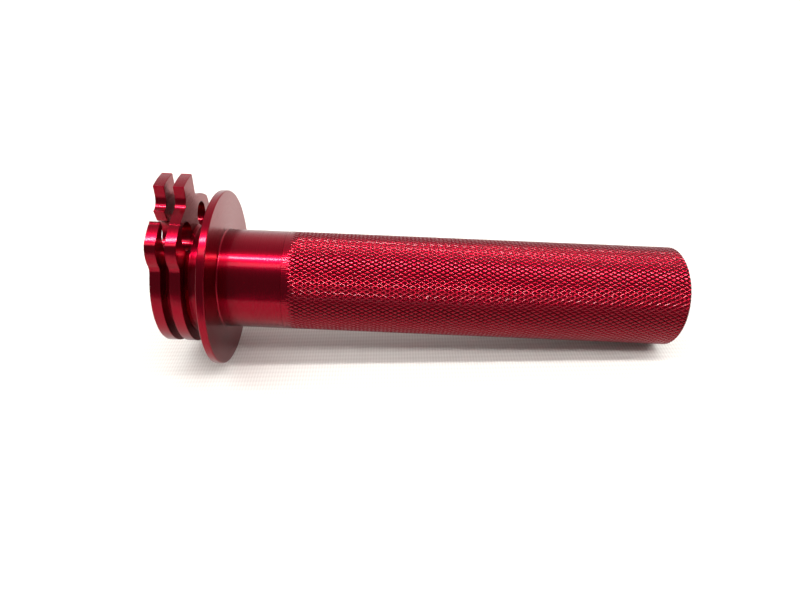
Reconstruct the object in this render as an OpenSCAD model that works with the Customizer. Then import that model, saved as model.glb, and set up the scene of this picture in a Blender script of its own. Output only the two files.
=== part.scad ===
// Throttle tube of an off-road motorcycle: a two-plate cable reel and a knurled
// grip tube that turn on the handlebar, on a plain bush at the reel and a sealed
// ball bearing at the outer end.
// The tube's axis is X, and +X points to the handlebar's outer end. The origin is
// on the axis, in the face of the flange that a rubber grip butts against.

/* [Grip tube] */
// Radius over the crests of the knurl
knurl_r = 14.1; // [13.6:0.05:14.5]
// From the flange's grip face to the outer end
tube_len = 126.9; // [110:0.1:140]
// Bore radius, clear of a 22.2 mm handlebar
bore_r = 11.3; // [11.2:0.05:11.5]
// Chamfer at the outer end
end_chamfer = 0.3; // [0.2:0.1:0.6]
// Length of the spigot that is pressed into the reel's neck
spigot_len = 12; // [8:1:13]
// Radius of that spigot
spigot_r = 12.9; // [12.7:0.05:13.1]

/* [Neck and flange] */
// Radius of the smooth neck
neck_r = 14.1; // [13.8:0.05:14.6]
// Length of the neck, from the flange to the grip tube's shoulder
neck_len = 17.15; // [15:0.05:20]
// Radius of the flange
flange_r = 25; // [22:0.1:28]
// Thickness of the flange
flange_t = 2.12; // [1.8:0.01:3]
// Chamfer on the flange's two edges
flange_chamfer = 0.25; // [0.1:0.05:0.5]
// Fillet between the flange and the neck
neck_fillet = 0.3; // [0.2:0.05:0.6]

/* [Cable reel] */
// Radius of the hub that the cables wrap on
hub_r = 15; // [14.8:0.1:16]
// Fillet between the hub and the inner plate
hub_fillet = 0.75; // [0.4:0.05:1]
// Thickness of each of the two plates
plate_t = 2.9; // [2.4:0.01:3.4]
// From the flange's grip face to the inner plate's near face
inner_plate_x = 7.9; // [7:0.01:9]
// Gap between the plates, where the cables' wires run
cable_gap = 2.3; // [2:0.01:3]
// Radius of the plates away from their lobes
plate_r = 18.7; // [18:0.1:19.5]
// Radius of the wide lobe that holds both cable seats
lobe_r = 23.9; // [23.2:0.1:24.4]
// Lean of the wide lobe, in degrees from the vertical
lobe_lean = 0.8; // [-2:0.1:2]
// Radius of the lobe's round noses
nose_r = 6.5; // [6:0.1:7]
// Distance of each nose's centre from the lobe's middle
nose_x = 9.1; // [8.8:0.1:9.5]
// Height of each nose's centre over the axis
nose_z = 15.4; // [15:0.1:16]
// Radius of the milling cutter, left in the inside corners
cutter_r = 3; // [2:0.1:3.5]

/* [Stop horn] */
// Height of the horn's crown over the axis
horn_z = 29.6; // [28:0.05:32]
// Radius of the crown
horn_crown_r = 26; // [20:1:30]
// Sideways place of the crown's highest point
horn_crown_y = 3; // [0:0.1:4]
// Face of the horn on the side of the wide cable seat
horn_front_y = -2.3; // [-3:0.1:-1.5]
// Face of the horn on the side of the narrow cable seat
horn_back_y = 5.2; // [4.5:0.1:6]
// Fillet behind the horn
horn_back_fillet = 1.2; // [0.8:0.1:2]

/* [Cable seats] */
// Radius of the wide seat, for the opening cable's nipple
wide_seat_r = 3.9; // [3.6:0.05:4.2]
// Distance of the wide seat from the axis
wide_seat_at = 17.9; // [17.6:0.1:18.2]
// Angle of the wide seat round the axis
wide_seat_angle = 110.5; // [109:0.1:112]
// Angle of the slot that lets the opening cable's wire in
wide_slot_angle = 106.9; // [105:0.1:109]
// Width of that slot
wide_slot_w = 3.6; // [3:0.1:4]
// Radius of the narrow seat, for the closing cable's nipple
narrow_seat_r = 3.5; // [3:0.05:3.8]
// Distance of the narrow seat from the axis
narrow_seat_at = 18.1; // [17.8:0.1:18.4]
// Angle of the narrow seat and its slot round the axis
narrow_seat_angle = 65.2; // [63:0.1:67]
// Width of the closing cable's slot
narrow_slot_w = 2.8; // [2.4:0.1:3.2]

/* [Plain bush] */
// Bore radius, a running fit on a 22.2 mm handlebar
bush_bore_r = 11.18; // [11.12:0.01:11.19]
// Outside radius, pressed into the reel
bush_r = 12.3; // [12.1:0.05:12.4]
// Length of the bush
bush_len = 18; // [17:0.5:19]

/* [End bearing] */
// Radius of the bearing's bore
bearing_bore_r = 7.5; // [7:0.1:7.6]
// Outside radius, pressed into the grip tube
bearing_r = 12; // [11.9:0.05:12.1]
// Width of the bearing
bearing_w = 5; // [4.8:0.1:5]
// Number of balls
ball_count = 14; // [12:1:14]
// Radius of a ball
ball_r = 1.19; // [1.15:0.01:1.2]
// Depth of the circlip's outer face behind the tube's end
clip_recess = 1.25; // [1:0.05:1.6]
// Thickness of the circlip
clip_t = 1; // [0.8:0.1:1.1]

/* [Bar end spacer] */
// Radius of the plug that fills the handlebar's open end
plug_r = 7; // [6.5:0.1:7.2]
// Length of that plug
plug_len = 12; // [8:1:16]
// Radius of the shoulder against the handlebar's end
shoulder_r = 10.8; // [10.2:0.1:11]
// Radius of the hole through the spacer
spacer_bore_r = 5; // [4:0.1:5.5]

/* [Hidden] */
$fn = 96;
BALLS = [for (i = [1 : ball_count]) str("ball_", i < 10 ? "0" : "", i)];

inner_plate_far = inner_plate_x + plate_t;
reel_end = inner_plate_far + cable_gap + plate_t; // the reel's far face, at x = -reel_end
far = 60;                        // longer than any radius here
seat_relief = 0.3;               // the hub is cut this much clear of the cable seats
join_x = neck_len - spigot_len;  // bottom of the socket in the neck
socket_clear_r = 11.5;           // bore between the bush and the grip tube
crown_corner_r = 0.4;            // edge break at the horn's back corner
edge = 0.2;                      // small chamfers on the bush and the spacer

// Bearing details, all measured from the bearing's middle
bearing_x = tube_len - clip_recess - clip_t - bearing_w / 2;
seat_x = bearing_x - bearing_w / 2;
pitch_r = (bearing_bore_r + bearing_r) / 2;
land_gap = 0.75;                 // from the pitch circle to each ring's land
race_r = ball_r + 0.03;          // groove radius, a running clearance over the ball
seal_t = 0.6;
seal_x = bearing_w / 2 - seal_t - 0.05;
seal_seat_r = pitch_r + land_gap + 0.4;
cage_half_w = 1.5;
cage_half_t = 0.55;
pocket_r = ball_r + 0.07;

// Circlip details
clip_groove_r = 12.5;
clip_r = clip_groove_r - 0.05;
clip_inner_r = 11;
clip_gap = 50;                   // degrees left open between its two lugs
lug_r = 1.45;
lug_at = 10.55;                  // distance of each lug from the axis
lug_hole_r = 0.6;

// Solid of rotation about X. The outline's points are [radius, x].
module turned(outline) {
    rotate([0, 90, 0]) rotate_extrude() polygon(outline);
}

// Plain disc or rod about X, from x0 to x1
module rod(r, x0, x1) {
    translate([x0, 0, 0]) rotate([0, 90, 0]) cylinder(r = r, h = x1 - x0);
}

// Outline drawn in the Y-Z plane, made solid from x0 to x1
module plate(x0, x1) {
    translate([x0, 0, 0]) rotate([90, 0, 90]) linear_extrude(x1 - x0) children();
}

// Material in the inside corner of two round shapes, with the cutter's radius r
module corner(a, b, centre, r) {
    difference() {
        polygon([a, b, centre]);
        translate(centre) circle(r = r);
    }
}

// Wide lobe: a sector with two round noses that run into the round plate
module lobe() {
    nose_at = norm([nose_x, nose_z]);
    out = plate_r + cutter_r;
    side = nose_r + cutter_r;
    turn = atan2(nose_x, nose_z) + acos((nose_at ^ 2 + out ^ 2 - side ^ 2) / (2 * nose_at * out));
    rotate(lobe_lean) intersection() {
        circle(r = lobe_r);
        for (s = [-1, 1]) {
            translate([s * nose_x, nose_z]) circle(r = nose_r);
            corner([0, 0], [s * nose_x, nose_z], out * [s * sin(turn), cos(turn)], cutter_r);
            polygon([[0, 0], [s * nose_x, 0], [s * nose_x, far], [0, far]]);
        }
    }
}

// Stop horn: straight sides, a gently curved crown and a cutter fillet at each foot
module horn() {
    front_foot = [horn_front_y - cutter_r,
                  sqrt((lobe_r + cutter_r) ^ 2 - (horn_front_y - cutter_r) ^ 2)];
    back_foot = [horn_back_y + horn_back_fillet,
                 sqrt((lobe_r + horn_back_fillet) ^ 2 - (horn_back_y + horn_back_fillet) ^ 2)];
    crown = [horn_crown_y, horn_z - horn_crown_r];
    corner_y = horn_back_y - crown_corner_r;
    corner_z = crown[1] + sqrt((horn_crown_r - crown_corner_r) ^ 2 - (corner_y - crown[0]) ^ 2);
    intersection() {
        translate(crown) circle(r = horn_crown_r);
        union() {
            translate([horn_front_y, 0]) square([corner_y - horn_front_y, far]);
            translate([horn_front_y, 0]) square([horn_back_y - horn_front_y, corner_z]);
            translate([corner_y, corner_z]) circle(r = crown_corner_r);
        }
    }
    corner([0, 0], [horn_front_y, front_foot[1]], front_foot, cutter_r);
    corner([0, 0], [horn_back_y, back_foot[1]], back_foot, horn_back_fillet);
}

// Holes for the two cable nipples, and the slots that their wires pass in by
module seats(slots, relief = 0) {
    for (seat = [[wide_seat_at, wide_seat_angle, wide_seat_r, wide_slot_angle, wide_slot_w],
                 [narrow_seat_at, narrow_seat_angle, narrow_seat_r, narrow_seat_angle, narrow_slot_w]]) {
        rotate(seat[1]) translate([seat[0], 0]) circle(r = seat[2] + relief);
        if (slots) rotate(seat[3]) translate([seat[0], -seat[4] / 2]) square([far, seat[4]]);
    }
}

module reel_plate(slots) {
    difference() {
        union() {
            circle(r = plate_r);
            lobe();
            horn();
        }
        seats(slots);
    }
}

module cable_reel() {
    color([0.62, 0.03, 0.08]) difference() {
        union() {
            // hub, flange and neck, turned in one, with the hub cut clear of the seats
            difference() {
                turned([[0, -reel_end + plate_t / 2], [hub_r, -reel_end + plate_t / 2],
                        [hub_r, -inner_plate_x - plate_t / 2],
                        [hub_r + hub_fillet, -inner_plate_x - plate_t / 2],
                        [hub_r + hub_fillet, -inner_plate_x], [hub_r, -inner_plate_x + hub_fillet],
                        [hub_r, -flange_t], [flange_r - flange_chamfer, -flange_t],
                        [flange_r, -flange_t + flange_chamfer], [flange_r, -flange_chamfer],
                        [flange_r - flange_chamfer, 0], [neck_r + neck_fillet, 0],
                        [neck_r, neck_fillet], [neck_r, neck_len], [0, neck_len]]);
                plate(-reel_end, -inner_plate_x + hub_fillet) seats(false, seat_relief);
            }
            plate(-reel_end, -inner_plate_far - cable_gap) reel_plate(true);
            plate(-inner_plate_far, -inner_plate_x) reel_plate(false);
        }
        // seat of the plain bush, clearance bore, and socket for the grip tube
        rod(bush_r, -reel_end - 1, -reel_end + bush_len);
        rod(socket_clear_r, -reel_end, neck_len);
        rod(spigot_r, join_x, neck_len + 1);
    }
}

module grip_tube() {
    clip_x = bearing_x + bearing_w / 2;
    color([0.6, 0.04, 0.09]) difference() {
        turned([[bore_r, join_x], [spigot_r, join_x], [spigot_r, neck_len], [knurl_r, neck_len],
                [knurl_r, tube_len - end_chamfer], [knurl_r - end_chamfer, tube_len],
                [bearing_r + end_chamfer, tube_len], [bearing_r, tube_len - end_chamfer],
                [bearing_r, seat_x], [bore_r, seat_x]]);
        difference() {
            rod(clip_groove_r, clip_x, clip_x + clip_t + 0.05);
            rod(bearing_r - 0.5, clip_x - 1, clip_x + clip_t + 1);
        }
    }
}

module reel_bush() {
    color("ivory") turned([[bush_bore_r + edge, -reel_end], [bush_r, -reel_end],
                           [bush_r, -reel_end + bush_len], [bush_bore_r + edge, -reel_end + bush_len],
                           [bush_bore_r, -reel_end + bush_len - edge], [bush_bore_r, -reel_end + edge]]);
}

// Ring-shaped groove that the balls run in
module race() {
    translate([bearing_x, 0, 0]) rotate([0, 90, 0])
        rotate_extrude() translate([pitch_r, 0]) circle(r = race_r);
}

module bearing_outer_ring() {
    land = pitch_r + land_gap;
    half = bearing_w / 2;
    color("lightsteelblue") difference() {
        translate([bearing_x, 0, 0])
            turned([[seal_seat_r, -half], [bearing_r, -half], [bearing_r, half], [seal_seat_r, half],
                    [seal_seat_r, seal_x], [land, seal_x], [land, -seal_x], [seal_seat_r, -seal_x]]);
        race();
    }
}

module bearing_inner_ring() {
    land = pitch_r - land_gap;
    color("lightsteelblue") difference() {
        rod(land, seat_x, seat_x + bearing_w);
        rod(bearing_bore_r, seat_x - 1, seat_x + bearing_w + 1);
        race();
    }
}

// Places the children at ball number i
module at_ball(i) {
    translate([bearing_x, 0, 0]) rotate([i * 360 / ball_count, 0, 0]) translate([0, pitch_r, 0]) children();
}

module bearing_cage() {
    color("goldenrod") difference() {
        rod(pitch_r + cage_half_t, bearing_x - cage_half_w, bearing_x + cage_half_w);
        rod(pitch_r - cage_half_t, bearing_x - cage_half_w - 1, bearing_x + cage_half_w + 1);
        // pockets drilled straight in from the outside
        for (i = [1 : ball_count])
            at_ball(i) rotate([90, 0, 0]) cylinder(r = pocket_r, h = 4 * cage_half_t, center = true);
    }
}

module ball(i) {
    color("silver") at_ball(i) sphere(r = ball_r);
}

// Rubber-faced ring in the outer ring's recess. Its lip stops short of the inner ring.
module seal(x0) {
    lip_r = pitch_r - land_gap + 0.1;
    color("dimgray") difference() {
        rod(seal_seat_r, x0, x0 + seal_t);
        rod(lip_r, x0 - 1, x0 + seal_t + 1);
    }
}

module circlip() {
    x0 = bearing_x + bearing_w / 2;
    color("slategray") plate(x0, x0 + clip_t) difference() {
        union() {
            difference() {
                circle(r = clip_r);
                circle(r = clip_inner_r);
                polygon([[0, 0], far * [-sin(clip_gap / 2), -cos(clip_gap / 2)],
                         far * [sin(clip_gap / 2), -cos(clip_gap / 2)]]);
            }
            for (s = [-1, 1])
                rotate(-90 + s * (clip_gap / 2 + 6)) translate([lug_at, 0]) circle(r = lug_r);
        }
        for (s = [-1, 1])
            rotate(-90 + s * (clip_gap / 2 + 6)) translate([lug_at, 0]) circle(r = lug_hole_r);
    }
}

// Stepped collar: plug in the handlebar's end, shoulder, and journal in the bearing
module bar_end_spacer() {
    land = pitch_r - land_gap - 0.2;
    shoulder_x = seat_x - 2.4;
    color("gainsboro") turned([
        [spacer_bore_r, shoulder_x - plug_len], [plug_r - end_chamfer, shoulder_x - plug_len],
        [plug_r, shoulder_x - plug_len + end_chamfer], [plug_r, shoulder_x],
        [shoulder_r, shoulder_x], [shoulder_r, seat_x - 0.6], [land, seat_x - 0.6], [land, seat_x],
        [bearing_bore_r, seat_x], [bearing_bore_r, seat_x + bearing_w - edge],
        [bearing_bore_r - edge, seat_x + bearing_w], [spacer_bore_r + edge, seat_x + bearing_w],
        [spacer_bore_r, seat_x + bearing_w - edge]]);
}

cable_reel();
grip_tube();
reel_bush();
bearing_outer_ring();
bearing_inner_ring();
bearing_cage();
seal(bearing_x - seal_x - seal_t);  // inboard_seal
seal(bearing_x + seal_x);  // outboard_seal
circlip();
bar_end_spacer();
for (i = [1 : ball_count]) ball(i);
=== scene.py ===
"""Visual model of a knurled, red anodised throttle tube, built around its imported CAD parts.

Every length is in metres, in the CAD's own frame: the tube's axis is X, +Z is up and the
origin is on the axis in the flange's grip face.
"""
import math

import bmesh
import bpy
from mathutils import Matrix, Vector


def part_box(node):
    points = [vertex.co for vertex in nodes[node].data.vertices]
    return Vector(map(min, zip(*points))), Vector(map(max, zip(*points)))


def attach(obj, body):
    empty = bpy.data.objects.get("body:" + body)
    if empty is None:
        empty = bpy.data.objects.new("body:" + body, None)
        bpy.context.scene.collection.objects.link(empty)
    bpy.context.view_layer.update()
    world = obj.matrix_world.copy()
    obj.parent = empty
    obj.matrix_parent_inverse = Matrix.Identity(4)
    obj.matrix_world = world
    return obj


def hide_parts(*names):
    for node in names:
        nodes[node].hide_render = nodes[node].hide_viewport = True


MM = 0.001
TOUCH = 0.001 * MM            # points closer than this are one

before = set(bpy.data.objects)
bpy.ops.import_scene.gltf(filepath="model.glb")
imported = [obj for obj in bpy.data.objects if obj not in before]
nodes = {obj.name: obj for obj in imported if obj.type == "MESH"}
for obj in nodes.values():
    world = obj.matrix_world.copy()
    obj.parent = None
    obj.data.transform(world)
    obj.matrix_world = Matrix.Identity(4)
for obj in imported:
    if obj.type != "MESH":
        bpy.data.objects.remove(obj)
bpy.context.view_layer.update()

# ---------------------------------------------------------------- sizes, from the frame
tube_low, tube_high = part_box("grip_tube")
reel_low, reel_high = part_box("cable_reel")
TUBE_R = tube_high.z
TUBE_END = tube_high.x
SHOULDER_X = reel_high.x      # where the grip tube meets the smooth neck
FLANGE_R = -reel_low.z

# ---------------------------------------------------------------- the knurl
KNURL_STARTS = 70             # helical grooves each way round the tube
KNURL_PITCHES = (430.0, 462.5)  # grooves crossed per metre of axis, right and left handed
KNURL_DEPTH = 0.152 * MM
# rings of a diamond, as (share of its width in from its edge, depth under its middle)
# which make its flanks steep beside the groove and nearly flat on the crest
KNURL_RINGS = ((0.07, 0.092 * MM), (0.14, 0.051 * MM), (0.20, 0.028 * MM), (0.28, 0.0127 * MM))
PLAIN_BAND = 1.5 * MM         # smooth strip beside the shoulder
FADE = 1.2 * MM               # over which the grooves reach their full depth
KNURL_X = SHOULDER_X + PLAIN_BAND * 0.9
END_CHAMFER = 0.35 * MM
SEAM_CHAMFER = 0.05 * MM
FACET_DEG = 6.5               # flatter joints than this are shaded as one surface


def smoothstep(t):
    t = min(max(t, 0.0), 1.0)
    return t * t * (3 - 2 * t)


def knurl_point(a, b, sink):
    """The place (a, b), counted in right-handed and left-handed grooves, sunk below the crests."""
    x = (a + b) / sum(KNURL_PITCHES)
    turn = 2 * math.pi * (a - KNURL_PITCHES[0] * x) / KNURL_STARTS
    r = TUBE_R - sink * smoothstep((x - SHOULDER_X - PLAIN_BAND) / FADE)
    return Vector((x, r * math.cos(turn), r * math.sin(turn)))


def add_knurl(bm):
    """Diamonds between two crossing families of grooves, from the plain band to the end chamfer."""
    end_x = TUBE_END - END_CHAMFER
    pitch = sum(KNURL_PITCHES)
    first = math.floor(KNURL_X * pitch) - 2
    last = math.ceil(end_x * pitch) + 1
    crossings = {}
    for row in range(first, last + 3):
        for i in range(KNURL_STARTS):
            crossings[row, i] = bm.verts.new(knurl_point(i, row - i, KNURL_DEPTH))

    def crossing(i, j):
        # round the tube, (i, j) and (i + starts, j - starts) are one place
        return crossings[i + j, i % KNURL_STARTS]

    for row in range(first, last + 1):
        for i in range(KNURL_STARTS):
            j = row - i
            below = [crossing(i, j), crossing(i + 1, j), crossing(i + 1, j + 1), crossing(i, j + 1)]
            for low, sink in KNURL_RINGS:
                high = 1 - low
                ring = [bm.verts.new(knurl_point(i + s, j + t, sink))
                        for s, t in ((low, low), (high, low), (high, high), (low, high))]
                for k in range(4):
                    n = (k + 1) % 4
                    bm.faces.new((below[k], below[n], ring[n], ring[k]))
                below = ring
            top = bm.verts.new(knurl_point(i + 0.5, j + 0.5, 0.0))
            for k in range(4):
                bm.faces.new((below[k], below[(k + 1) % 4], top))
    for x, side in ((KNURL_X, -1), (end_x, 1)):
        bmesh.ops.bisect_plane(bm, geom=bm.verts[:] + bm.edges[:] + bm.faces[:], dist=1e-8,
                               plane_co=(x, 0, 0), plane_no=(side, 0, 0), clear_outer=True)


def open_loop(bm, x):
    """The open edges that lie in the plane at x."""
    return [e for e in bm.edges if e.is_boundary and all(abs(v.co.x - x) < TOUCH for v in e.verts)]


def extend(bm, edges, x, r):
    """Carries an open loop on to a round ring at x with radius r, and returns the new loop."""
    made = bmesh.ops.extrude_edge_only(bm, edges=edges)["geom"]
    for v in made:
        if isinstance(v, bmesh.types.BMVert):
            out = Vector((0, v.co.y, v.co.z)).normalized()
            v.co = Vector((x, 0, 0)) + out * r
    return [e for e in made if isinstance(e, bmesh.types.BMEdge)]


def new_piece(name, bm, material, sharp_deg):
    bmesh.ops.recalc_face_normals(bm, faces=bm.faces)
    mesh = bpy.data.meshes.new(name)
    bm.to_mesh(mesh)
    bm.free()
    mesh.shade_smooth()
    mesh.set_sharp_from_angle(angle=math.radians(sharp_deg))
    mesh.materials.append(material)
    piece = bpy.data.objects.new(name, mesh)
    bpy.context.scene.collection.objects.link(piece)
    return piece


def radius(v):
    return math.hypot(v.co.y, v.co.z)


def knurled_tube(material):
    """The grip tube: the CAD part's own inside, with a knurled skin in place of its plain outside."""
    bm = bmesh.new()
    add_knurl(bm)
    skin = set(bm.faces)
    bm.from_mesh(nodes["grip_tube"].data)
    spigot_r = max(radius(v) for v in bm.verts if v.co.x < tube_low.x + 0.01 * MM)
    outside = [f for f in bm.faces if f not in skin
               and max(radius(v) for v in f.verts) > spigot_r + 0.1 * MM]
    bmesh.ops.delete(bm, geom=outside, context="FACES")
    bmesh.ops.remove_doubles(bm, verts=bm.verts, dist=TOUCH)
    inner = {x: open_loop(bm, x) for x in (SHOULDER_X, TUBE_END)}
    seam = extend(bm, open_loop(bm, KNURL_X), SHOULDER_X + SEAM_CHAMFER, TUBE_R)
    seam = extend(bm, seam, SHOULDER_X, TUBE_R - SEAM_CHAMFER)
    end = extend(bm, open_loop(bm, TUBE_END - END_CHAMFER), TUBE_END, TUBE_R - END_CHAMFER)
    for outer, x in ((seam, SHOULDER_X), (end, TUBE_END)):
        bmesh.ops.triangle_fill(bm, edges=outer + inner[x], normal=(1, 0, 0), use_beauty=True)
    return new_piece("knurled_tube", bm, material, FACET_DEG)


# ---------------------------------------------------------------- materials
class Nodes:
    """Shorthand for building one material's node tree."""

    def __init__(self, name):
        self.material = bpy.data.materials.new(name)
        self.material.use_nodes = True
        self.tree = self.material.node_tree
        self.shader = self.tree.nodes["Principled BSDF"]
        self.coords = self.add("ShaderNodeTexCoord").outputs["Object"]

    def add(self, kind, inputs=(), **settings):
        node = self.tree.nodes.new(kind)
        for key, value in settings.items():
            setattr(node, key, value)
        for key, value in dict(inputs).items():
            self.put(node.inputs[key], value)
        return node

    def put(self, socket, value):
        if isinstance(value, bpy.types.NodeSocket):
            self.tree.links.new(value, socket)
        else:
            socket.default_value = value

    def math(self, operation, *values):
        return self.add("ShaderNodeMath", dict(enumerate(values)), operation=operation).outputs[0]

    def vector(self, operation, *values):
        return self.add("ShaderNodeVectorMath", dict(enumerate(values)), operation=operation)

    def noise(self, vector, scale, detail=2.0, roughness=0.5):
        made = self.add("ShaderNodeTexNoise", {"Vector": vector, "Scale": scale, "Detail": detail,
                                               "Roughness": roughness})
        return made.outputs["Fac"]

    def ramp(self, value, low, high, to_low, to_high):
        return self.add("ShaderNodeMapRange", {"Value": value, "From Min": low, "From Max": high,
                                               "To Min": to_low, "To Max": to_high}).outputs[0]

    def mix(self, fac, a, b):
        made = self.add("ShaderNodeMix", data_type="RGBA")
        for key, value in (("Factor_Float", fac), ("A_Color", a), ("B_Color", b)):
            self.put(next(s for s in made.inputs if s.identifier == key), value)
        return next(s for s in made.outputs if s.identifier == "Result_Color")

    def bump(self, height, depth, normal=None):
        made = self.add("ShaderNodeBump", {"Height": height, "Strength": 1.0, "Distance": depth})
        if normal:
            self.put(made.inputs["Normal"], normal)
        return made.outputs["Normal"]

    def set(self, **values):
        for key, value in values.items():
            self.put(self.shader.inputs[key.replace("_", " ")], value)

    def radius(self):
        """Distance from the tube's axis."""
        flat = self.vector("MULTIPLY", self.coords, (0.0, 1.0, 1.0)).outputs["Vector"]
        return self.vector("LENGTH", flat).outputs["Value"]

    def round_axis(self):
        """World direction of travel round the tube's axis."""
        local = self.vector("CROSS_PRODUCT", (1.0, 0.0, 0.0), self.coords).outputs["Vector"]
        return self.add("ShaderNodeVectorTransform", {"Vector": local}, vector_type="VECTOR",
                        convert_from="OBJECT", convert_to="WORLD").outputs["Vector"]

    def turned(self, scale):
        """Noise in fine rings round the axis, as a lathe leaves."""
        parts = self.add("ShaderNodeSeparateXYZ", {"Vector": self.coords})
        angle = self.math("ARCTAN2", parts.outputs["Z"], parts.outputs["Y"])
        rings = self.add("ShaderNodeCombineXYZ", {
            "X": self.math("MULTIPLY", parts.outputs["X"], scale),
            "Y": self.math("MULTIPLY", self.radius(), scale),
            "Z": self.math("MULTIPLY", self.math("SINE", angle), 0.4)}).outputs[0]
        return self.noise(rings, 1.0, 3.0, 0.6)


QUARTER_TURN = 0.25


def anodised(name, marks, rough, coat, stretch=0.0):
    """Deep red anodised aluminium. Turning marks stretch its highlights across themselves."""
    n = Nodes(name)
    mottle = n.noise(n.coords, 140.0, 3.0)
    color = n.mix(mottle, (0.200, 0.0003, 0.0090, 1), (0.240, 0.0006, 0.0120, 1))
    rings = n.turned(26000.0)
    grain = n.noise(n.coords, 9000.0, 2.0)
    n.set(Base_Color=color, Metallic=1.0,
          Roughness=n.ramp(rings, 0.3, 0.7, rough - 0.025, rough + 0.025),
          Specular_Tint=(0.85, 0.93, 0.93, 1), Coat_Weight=coat, Coat_Roughness=0.10, Coat_IOR=1.6)
    if stretch:
        n.set(Anisotropic=stretch, Anisotropic_Rotation=QUARTER_TURN, Tangent=n.round_axis())
    normal = n.bump(rings, marks)
    n.set(Normal=n.bump(grain, 0.0005 * MM, normal))
    return n


reel_red = anodised("red_anodised_look", marks=0.0010 * MM, rough=0.285, coat=0.13, stretch=0.7).material

# the same red, with painted shade darkening the grooves and most of their flanks
knurl = anodised("red_knurl_look", marks=0.0006 * MM, rough=0.27, coat=0.15)
groove_shade_mask = knurl.ramp(knurl.radius(), TUBE_R - KNURL_DEPTH, TUBE_R - KNURL_DEPTH * 0.1, 0.0, 1.0)
crest_color = knurl.shader.inputs["Base Color"].links[0].from_socket
# painted shade: the base colour falls to a darker red from the crests down into the grooves
knurl.set(Base_Color=knurl.mix(groove_shade_mask, (0.085, 0.0003, 0.004, 1), crest_color))
knurl_red = knurl.material


def turned_metal(name, color, dark, rough_low, rough_high, scale, marks):
    """Bare metal with the fine rings that turning or grinding leaves."""
    n = Nodes(name)
    rings = n.turned(scale)
    n.set(Base_Color=n.mix(n.noise(n.coords, 300.0, 4.0), dark, color), Metallic=1.0,
          Roughness=n.ramp(rings, 0.3, 0.7, rough_low, rough_high),
          Normal=n.bump(rings, marks))
    return n.material


def moulded(name, color, dark, roughness, grain_scale, grain_depth, sheen=0.0):
    """Rubber or polymer with a fine grain."""
    n = Nodes(name)
    grain = n.noise(n.coords, grain_scale, 4.0)
    n.set(Base_Color=n.mix(n.noise(n.coords, 500.0, 4.0), dark, color), Specular_IOR_Level=0.4,
          Roughness=n.ramp(grain, 0.3, 0.7, roughness * 0.85, roughness * 1.15),
          Sheen_Weight=sheen, Normal=n.bump(grain, grain_depth))
    return n.material


bearing_steel = turned_metal("bearing_steel_look", (0.52, 0.53, 0.55, 1), (0.42, 0.43, 0.45, 1),
                             0.14, 0.26, 14000.0, 0.0010 * MM)
ball_steel = turned_metal("ball_steel_look", (0.78, 0.79, 0.81, 1), (0.70, 0.71, 0.73, 1),
                          0.03, 0.08, 3000.0, 0.0001 * MM)
cage_brass = turned_metal("cage_brass_look", (0.78, 0.58, 0.26, 1), (0.62, 0.44, 0.18, 1),
                          0.22, 0.38, 9000.0, 0.0016 * MM)
clip_steel = turned_metal("clip_steel_look", (0.11, 0.11, 0.12, 1), (0.05, 0.05, 0.055, 1),
                          0.36, 0.52, 5000.0, 0.0016 * MM)
aluminium = turned_metal("plain_aluminium_look", (0.70, 0.71, 0.72, 1), (0.58, 0.59, 0.61, 1),
                         0.20, 0.34, 8000.0, 0.0018 * MM)
rubber = moulded("seal_rubber_look", (0.022, 0.022, 0.024, 1), (0.012, 0.012, 0.013, 1), 0.5,
                 9000.0, 0.004 * MM, sheen=0.15)
polymer = moulded("bush_polymer_look", (0.84, 0.81, 0.73, 1), (0.76, 0.72, 0.63, 1), 0.42,
                  6000.0, 0.002 * MM)

# ---------------------------------------------------------------- pieces
tube = knurled_tube(knurl_red)
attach(tube, "throttle_tube")
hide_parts("grip_tube")


def dress(node, material):
    mesh = nodes[node].data
    mesh.materials.clear()
    mesh.materials.append(material)


def break_edges(node, width):
    """Breaks a CAD part's sharp edges, so that they catch the light."""
    piece = nodes[node]
    weld = piece.modifiers.new("weld", "WELD")
    weld.merge_threshold = TOUCH
    flat = piece.modifiers.new("merge_flats", "DECIMATE")
    flat.decimate_type = "DISSOLVE"
    flat.angle_limit = math.radians(0.5)
    bevel = piece.modifiers.new("break_edges", "BEVEL")
    bevel.width = width
    bevel.segments = 2
    bevel.limit_method = "ANGLE"
    bevel.angle_limit = math.radians(35)
    bevel.use_clamp_overlap = False
    shading = piece.modifiers.new("face_weighted_shading", "WEIGHTED_NORMAL")
    shading.mode = "FACE_AREA"
    shading.weight = 100


# material and width of the broken edges, in mm
LOOKS = {
    "cable_reel": (reel_red, 0.12),
    "reel_bush": (polymer, 0.10),
    "bearing_outer_ring": (bearing_steel, 0.15),
    "bearing_inner_ring": (bearing_steel, 0.15),
    "bearing_cage": (cage_brass, 0.0),
    "circlip": (clip_steel, 0.08),
    "bar_end_spacer": (aluminium, 0.10),
}
for node, (material, edge_mm) in LOOKS.items():
    dress(node, material)
    if edge_mm:
        break_edges(node, edge_mm * MM)
for node in nodes:
    if node.startswith("ball_"):
        dress(node, ball_steel)


def lathe(bm, outline, steps=128):
    """Closed solid of rotation about X. The outline is a loop of (x, radius) points."""
    rings = []
    for k in range(steps):
        turn = 2 * math.pi * k / steps
        rings.append([bm.verts.new((x, r * math.cos(turn), r * math.sin(turn))) for x, r in outline])
    for k in range(steps):
        here, there = rings[k], rings[(k + 1) % steps]
        for i in range(len(outline)):
            j = (i + 1) % len(outline)
            bm.faces.new((here[i], here[j], there[j], there[i]))


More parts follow.
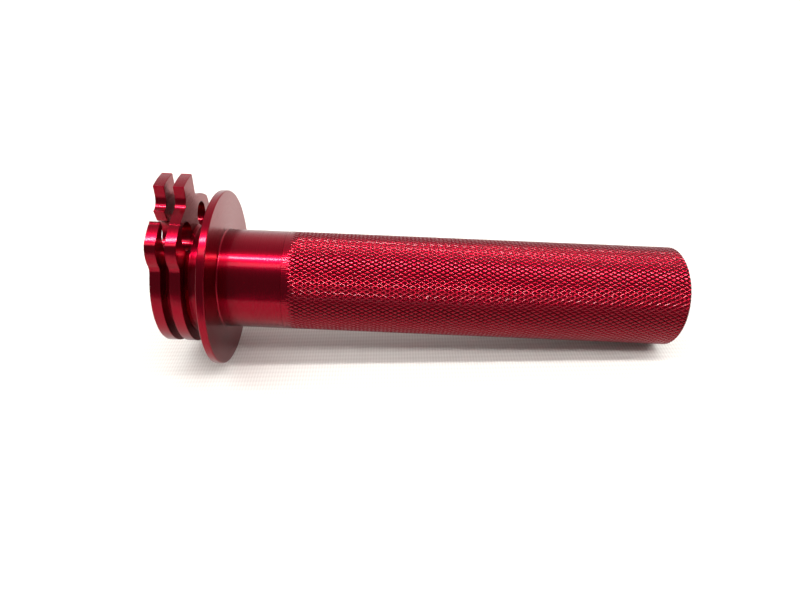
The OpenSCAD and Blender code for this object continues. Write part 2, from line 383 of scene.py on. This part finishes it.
def seal(node, outward):
    """A bearing's seal: flat rim, shallow dished web and a thickened lip."""
    low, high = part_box(node)
    rim_r = high.z
    lip_r = min(radius(v) for v in nodes[node].data.vertices)
    face, back = (high.x, low.x) if outward > 0 else (low.x, high.x)
    width = rim_r - lip_r

    def at(share, depth_mm):
        """A point this share of the way from lip to rim, this deep under the face."""
        return face - outward * depth_mm * MM, lip_r + share * width

    outline = [(back, rim_r), at(1.0, 0.04), at(0.985, 0.0), at(0.86, 0.0), at(0.83, 0.05),
               at(0.80, 0.16), at(0.34, 0.16), at(0.30, 0.12), at(0.26, 0.02), at(0.22, 0.0),
               at(0.10, 0.0), at(0.03, 0.06), at(0.0, 0.18), at(0.0, 0.42), at(0.10, 0.5),
               (back, lip_r + 0.2 * width)]
    bm = bmesh.new()
    lathe(bm, outline)
    piece = new_piece(node + "_moulding", bm, rubber, 40)
    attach(piece, "throttle_tube")
    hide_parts(node)


seal("inboard_seal", -1)
seal("outboard_seal", 1)

# ---------------------------------------------------------------- floor
CLOTH_SIZE = 4.0
RIB, ROW = 0.85 * MM, 1.7 * MM  # the weave's two pitches
CLOTH_FRONT = -92 * MM        # near edge, in front of the tube
CLOTH_CORNER = -14 * MM       # where that edge turns towards the viewer
slope = math.atan2(FLANGE_R - TUBE_R, TUBE_END)
bm = bmesh.new()
outline = [(CLOTH_SIZE, CLOTH_SIZE), (-CLOTH_SIZE, CLOTH_SIZE), (-CLOTH_SIZE, -CLOTH_SIZE),
           (-CLOTH_SIZE / 2, -CLOTH_SIZE), (CLOTH_CORNER, CLOTH_FRONT), (CLOTH_SIZE, CLOTH_FRONT)]
bm.faces.new([bm.verts.new((x, y, 0)) for x, y in outline])
cloth = Nodes("white_cloth")
weave = cloth.add("ShaderNodeSeparateXYZ", {"Vector": cloth.coords})
ribs = cloth.math("SINE", cloth.math("MULTIPLY", weave.outputs["X"], 2 * math.pi / RIB))
rows = cloth.math("SINE", cloth.math("MULTIPLY", weave.outputs["Y"], 2 * math.pi / ROW))
threads = cloth.math("ADD", cloth.math("MULTIPLY", ribs, 0.6), cloth.math("MULTIPLY", rows, 0.4))
cloth.set(Base_Color=cloth.mix(cloth.ramp(threads, -1.0, 1.0, 0.0, 1.0), (0.81, 0.77, 0.72, 1),
                               (0.96, 0.93, 0.88, 1)),
          Roughness=0.9, Specular_IOR_Level=0.1, Normal=cloth.bump(threads, 0.03 * MM))
floor = new_piece("floor", bm, cloth.material, 30)
floor.matrix_world = Matrix.Translation((0, 0, -FLANGE_R)) @ Matrix.Rotation(-slope, 4, "Y")

# ---------------------------------------------------------------- light
AIM = Vector((0.06, 0, 0))


def softbox(name, elevation_deg, distance, length, width, watts, glossy=True, diffuse=True):
    """Long lamp along the tube. Its elevation counts up from the viewer's side."""
    light = bpy.data.lights.new(name, "AREA")
    light.shape = "RECTANGLE"
    light.size = length
    light.size_y = width
    light.energy = watts
    rise = math.radians(elevation_deg)
    lamp = bpy.data.objects.new(name, light)
    lamp.location = AIM + distance * Vector((0, -math.cos(rise), math.sin(rise)))
    lamp.rotation_euler = (math.pi / 2 - rise, 0, 0)
    lamp.visible_glossy = glossy
    lamp.visible_diffuse = diffuse
    bpy.context.scene.collection.objects.link(lamp)


# the glint and the front light make highlights only, and the fill makes shadows only
softbox("ceiling_light", 81, 3.0, 7.0, 0.24, 110.0)
softbox("ceiling_glint", 80.5, 2.9, 6.5, 0.13, 200.0, diffuse=False)
softbox("front_light", 65.0, 3.0, 7.0, 0.44, 46.0, diffuse=False)
softbox("front_fill", 61.5, 3.0, 7.0, 0.5, 65.0, glossy=False)

# a room that is dark in front of the tube and bright behind it, seen as plain white
world = bpy.data.worlds.new("studio")
bpy.context.scene.world = world
world.use_nodes = True
tree = world.node_tree
parts = tree.nodes.new("ShaderNodeSeparateXYZ")
tree.links.new(tree.nodes.new("ShaderNodeTexCoord").outputs["Generated"], parts.inputs[0])
room = tree.nodes.new("ShaderNodeMapRange")
for key, value in (("From Min", -0.15), ("From Max", 0.9), ("To Min", 0.26), ("To Max", 1.35)):
    room.inputs[key].default_value = value
tree.links.new(parts.outputs["Y"], room.inputs["Value"])
seen = tree.nodes.new("ShaderNodeMapRange")
tree.links.new(tree.nodes.new("ShaderNodeLightPath").outputs["Is Camera Ray"], seen.inputs["Value"])
tree.links.new(room.outputs[0], seen.inputs["To Min"])
tree.links.new(seen.outputs[0], tree.nodes["Background"].inputs["Strength"])
tree.nodes["Background"].inputs["Color"].default_value = (1, 1, 1, 1)

bpy.context.scene.view_settings.view_transform = "Standard"

# ---------------------------------------------------------------- camera
ELEVATION = math.radians(34.2)
CAMERA_X = 42.59 * MM
CAMERA_DISTANCE = 162.6 * MM
YAW, PITCH, ROLL = 0.0039, -0.0297, 0.0423
FOCAL_PER_WIDTH = 0.69645
SHIFT = 0.0343

camera_data = bpy.data.cameras.new("camera")
camera_data.sensor_width = 36
camera_data.lens = 36 * FOCAL_PER_WIDTH
camera_data.shift_x = SHIFT
camera_data.clip_start = 0.01
camera = bpy.data.objects.new("camera", camera_data)
camera.matrix_world = (
    Matrix.Rotation(-ELEVATION, 4, "X") @ Matrix.Translation((CAMERA_X, -CAMERA_DISTANCE, 0))
    @ Matrix.Rotation(YAW, 4, "Z") @ Matrix.Rotation(PITCH, 4, "X") @ Matrix.Rotation(-ROLL, 4, "Y")
    @ Matrix.Rotation(math.pi / 2, 4, "X"))
bpy.context.scene.collection.objects.link(camera)
bpy.context.scene.camera = camera
